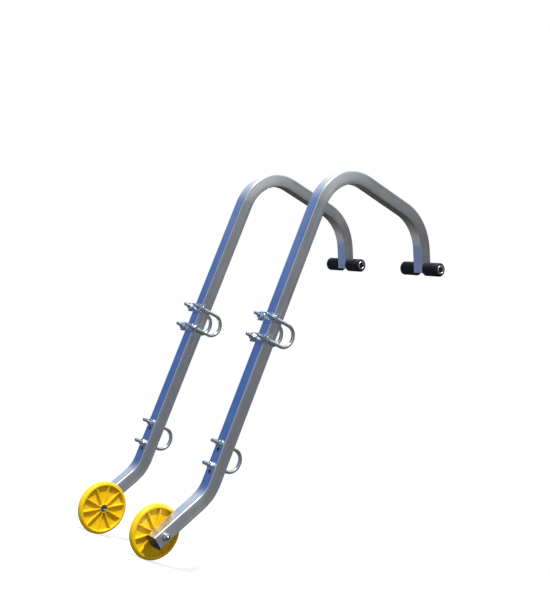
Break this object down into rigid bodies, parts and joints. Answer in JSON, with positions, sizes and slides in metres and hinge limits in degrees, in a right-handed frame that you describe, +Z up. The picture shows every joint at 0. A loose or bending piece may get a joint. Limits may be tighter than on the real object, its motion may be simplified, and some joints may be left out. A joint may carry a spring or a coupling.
{
  "type": "ladder roof hook set",
  "caption": "Mirrored pair of bent square-tube ladder roof hooks with padded cross tubes, U-bolt rung clamps and plastic wheels that roll the ladder up a roof.",
  "frame": {"origin": "centre of the left arm's back face, level with the upper clamp, where the upper rung seats", "axes": "+Z up along the straight length of the arms, +Y from the climbing side to the roof side, +X across the rungs from the left arm to the right arm"},
  "size_m": [0.39, 0.4954, 0.9352],
  "materials": {
    "arm_aluminium": "mill-finish extruded square tube, fine lengthwise drawing lines",
    "cross_tube_aluminium": "sawn and deburred round tube",
    "pad_rubber": "black ribbed rubber sleeve, matt",
    "cap_plastic": "black moulded plug, lightly textured",
    "wheel_plastic": "yellow moulded polypropylene, semi-gloss",
    "rivet_aluminium": "set blind rivet, satin",
    "plate_steel": "bright zinc plated flat bar",
    "sleeve_steel": "turned steel",
    "ubolt_steel": "bright zinc plated rod with rolled threads",
    "fastener_steel": "bright zinc plated"
  },
  "bodies": {
    "left_arm": {"left_arm_tube": "arm_aluminium", "left_end_cap": "cap_plastic", "left_cross_tube": "cross_tube_aluminium", "left_cross_tube_rivet": "rivet_aluminium", "left_pad_inner": "pad_rubber", "left_pad_outer": "pad_rubber", "left_clamp_plate_top": "plate_steel", "left_clamp_plate_bottom": "plate_steel", "left_axle_sleeve": "sleeve_steel", "left_axle_bolt": "fastener_steel", "left_axle_head_washer": "fastener_steel", "left_axle_nut_washer": "fastener_steel", "left_axle_nut": "fastener_steel", "left_upper_inner_top_washer": "fastener_steel", "left_upper_inner_bottom_washer": "fastener_steel", "left_upper_outer_top_washer": "fastener_steel", "left_upper_outer_bottom_washer": "fastener_steel", "left_lower_top_washer": "fastener_steel", "left_lower_bottom_washer": "fastener_steel"},
    "left_wheel": {"left_wheel": "wheel_plastic"},
    "left_upper_inner_ubolt": {"left_upper_inner_ubolt": "ubolt_steel"},
    "left_upper_inner_top_nut": {"left_upper_inner_top_nut": "fastener_steel"},
    "left_upper_inner_bottom_nut": {"left_upper_inner_bottom_nut": "fastener_steel"},
    "left_upper_outer_ubolt": {"left_upper_outer_ubolt": "ubolt_steel"},
    "left_upper_outer_top_nut": {"left_upper_outer_top_nut": "fastener_steel"},
    "left_upper_outer_bottom_nut": {"left_upper_outer_bottom_nut": "fastener_steel"},
    "left_lower_ubolt": {"left_lower_ubolt": "ubolt_steel"},
    "left_lower_top_nut": {"left_lower_top_nut": "fastener_steel"},
    "left_lower_bottom_nut": {"left_lower_bottom_nut": "fastener_steel"},
    "right_arm": {"right_arm_tube": "arm_aluminium", "right_end_cap": "cap_plastic", "right_cross_tube": "cross_tube_aluminium", "right_cross_tube_rivet": "rivet_aluminium", "right_pad_inner": "pad_rubber", "right_pad_outer": "pad_rubber", "right_clamp_plate_top": "plate_steel", "right_clamp_plate_bottom": "plate_steel", "right_axle_sleeve": "sleeve_steel", "right_axle_bolt": "fastener_steel", "right_axle_head_washer": "fastener_steel", "right_axle_nut_washer": "fastener_steel", "right_axle_nut": "fastener_steel", "right_upper_inner_top_washer": "fastener_steel", "right_upper_inner_bottom_washer": "fastener_steel", "right_upper_outer_top_washer": "fastener_steel", "right_upper_outer_bottom_washer": "fastener_steel", "right_lower_top_washer": "fastener_steel", "right_lower_bottom_washer": "fastener_steel"},
    "right_wheel": {"right_wheel": "wheel_plastic"},
    "right_upper_inner_ubolt": {"right_upper_inner_ubolt": "ubolt_steel"},
    "right_upper_inner_top_nut": {"right_upper_inner_top_nut": "fastener_steel"},
    "right_upper_inner_bottom_nut": {"right_upper_inner_bottom_nut": "fastener_steel"},
    "right_upper_outer_ubolt": {"right_upper_outer_ubolt": "ubolt_steel"},
    "right_upper_outer_top_nut": {"right_upper_outer_top_nut": "fastener_steel"},
    "right_upper_outer_bottom_nut": {"right_upper_outer_bottom_nut": "fastener_steel"},
    "right_lower_ubolt": {"right_lower_ubolt": "ubolt_steel"},
    "right_lower_top_nut": {"right_lower_top_nut": "fastener_steel"},
    "right_lower_bottom_nut": {"right_lower_bottom_nut": "fastener_steel"}
  },
  "joints": [
    {"name": "left_wheel_spin", "type": "hinge", "parent": "left_arm", "child": "left_wheel", "pos_m": [0.026, -0.08272, -0.46562], "axis": [1, 0, 0], "continuous": true},
    {"name": "left_upper_inner_ubolt_slide", "type": "slide", "parent": "left_arm", "child": "left_upper_inner_ubolt", "axis": [0, 1, 0], "range_m": [0, 0.012]},
    {"name": "left_upper_inner_top_nut_turn", "type": "hinge", "parent": "left_arm", "child": "left_upper_inner_top_nut", "pos_m": [0.02, -0.037, 0.024], "axis": [0, -1, 0], "range_deg": [0, 3460]},
    {"name": "left_upper_inner_bottom_nut_turn", "type": "hinge", "parent": "left_arm", "child": "left_upper_inner_bottom_nut", "pos_m": [0.02, -0.037, -0.024], "axis": [0, -1, 0], "range_deg": [0, 3460]},
    {"name": "left_upper_outer_ubolt_slide", "type": "slide", "parent": "left_arm", "child": "left_upper_outer_ubolt", "axis": [0, 1, 0], "range_m": [0, 0.012]},
    {"name": "left_upper_outer_top_nut_turn", "type": "hinge", "parent": "left_arm", "child": "left_upper_outer_top_nut", "pos_m": [-0.02, -0.037, 0.024], "axis": [0, -1, 0], "range_deg": [0, 3460]},
    {"name": "left_upper_outer_bottom_nut_turn", "type": "hinge", "parent": "left_arm", "child": "left_upper_outer_bottom_nut", "pos_m": [-0.02, -0.037, -0.024], "axis": [0, -1, 0], "range_deg": [0, 3460]},
    {"name": "left_lower_ubolt_slide", "type": "slide", "parent": "left_arm", "child": "left_lower_ubolt", "axis": [0, 1, 0], "range_m": [0, 0.012]},
    {"name": "left_lower_top_nut_turn", "type": "hinge", "parent": "left_arm", "child": "left_lower_top_nut", "pos_m": [0, -0.037, -0.256], "axis": [0, -1, 0], "range_deg": [0, 3460]},
    {"name": "left_lower_bottom_nut_turn", "type": "hinge", "parent": "left_arm", "child": "left_lower_bottom_nut", "pos_m": [0, -0.037, -0.304], "axis": [0, -1, 0], "range_deg": [0, 3460]},
    {"name": "arm_spacing", "type": "slide", "parent": "left_arm", "child": "right_arm", "axis": [1, 0, 0], "range_m": [-0.08, 0.06]},
    {"name": "right_wheel_spin", "type": "hinge", "parent": "right_arm", "child": "right_wheel", "pos_m": [0.244, -0.08272, -0.46562], "axis": [1, 0, 0], "continuous": true},
    {"name": "right_upper_inner_ubolt_slide", "type": "slide", "parent": "right_arm", "child": "right_upper_inner_ubolt", "axis": [0, 1, 0], "range_m": [0, 0.012]},
    {"name": "right_upper_inner_top_nut_turn", "type": "hinge", "parent": "right_arm", "child": "right_upper_inner_top_nut", "pos_m": [0.25, -0.037, 0.024], "axis": [0, -1, 0], "range_deg": [0, 3460]},
    {"name": "right_upper_inner_bottom_nut_turn", "type": "hinge", "parent": "right_arm", "child": "right_upper_inner_bottom_nut", "pos_m": [0.25, -0.037, -0.024], "axis": [0, -1, 0], "range_deg": [0, 3460]},
    {"name": "right_upper_outer_ubolt_slide", "type": "slide", "parent": "right_arm", "child": "right_upper_outer_ubolt", "axis": [0, 1, 0], "range_m": [0, 0.012]},
    {"name": "right_upper_outer_top_nut_turn", "type": "hinge", "parent": "right_arm", "child": "right_upper_outer_top_nut", "pos_m": [0.29, -0.037, 0.024], "axis": [0, -1, 0], "range_deg": [0, 3460]},
    {"name": "right_upper_outer_bottom_nut_turn", "type": "hinge", "parent": "right_arm", "child": "right_upper_outer_bottom_nut", "pos_m": [0.29, -0.037, -0.024], "axis": [0, -1, 0], "range_deg": [0, 3460]},
    {"name": "right_lower_ubolt_slide", "type": "slide", "parent": "right_arm", "child": "right_lower_ubolt", "axis": [0, 1, 0], "range_m": [0, 0.012]},
    {"name": "right_lower_top_nut_turn", "type": "hinge", "parent": "right_arm", "child": "right_lower_top_nut", "pos_m": [0.27, -0.037, -0.256], "axis": [0, -1, 0], "range_deg": [0, 3460]},
    {"name": "right_lower_bottom_nut_turn", "type": "hinge", "parent": "right_arm", "child": "right_lower_bottom_nut", "pos_m": [0.27, -0.037, -0.304], "axis": [0, -1, 0], "range_deg": [0, 3460]}
  ],
  "couplings": [
    {"joint": "left_upper_inner_top_nut_turn", "follows": "left_upper_inner_ubolt_slide", "rad_per_m": 5026.5},
    {"joint": "left_upper_inner_bottom_nut_turn", "follows": "left_upper_inner_ubolt_slide", "rad_per_m": 5026.5},
    {"joint": "left_upper_outer_top_nut_turn", "follows": "left_upper_outer_ubolt_slide", "rad_per_m": 5026.5},
    {"joint": "left_upper_outer_bottom_nut_turn", "follows": "left_upper_outer_ubolt_slide", "rad_per_m": 5026.5},
    {"joint": "left_lower_top_nut_turn", "follows": "left_lower_ubolt_slide", "rad_per_m": 5026.5},
    {"joint": "left_lower_bottom_nut_turn", "follows": "left_lower_ubolt_slide", "rad_per_m": 5026.5},
    {"joint": "right_upper_inner_top_nut_turn", "follows": "right_upper_inner_ubolt_slide", "rad_per_m": 5026.5},
    {"joint": "right_upper_inner_bottom_nut_turn", "follows": "right_upper_inner_ubolt_slide", "rad_per_m": 5026.5},
    {"joint": "right_upper_outer_top_nut_turn", "follows": "right_upper_outer_ubolt_slide", "rad_per_m": 5026.5},
    {"joint": "right_upper_outer_bottom_nut_turn", "follows": "right_upper_outer_ubolt_slide", "rad_per_m": 5026.5},
    {"joint": "right_lower_top_nut_turn", "follows": "right_lower_ubolt_slide", "rad_per_m": 5026.5},
    {"joint": "right_lower_bottom_nut_turn", "follows": "right_lower_ubolt_slide", "rad_per_m": 5026.5}
  ]
}
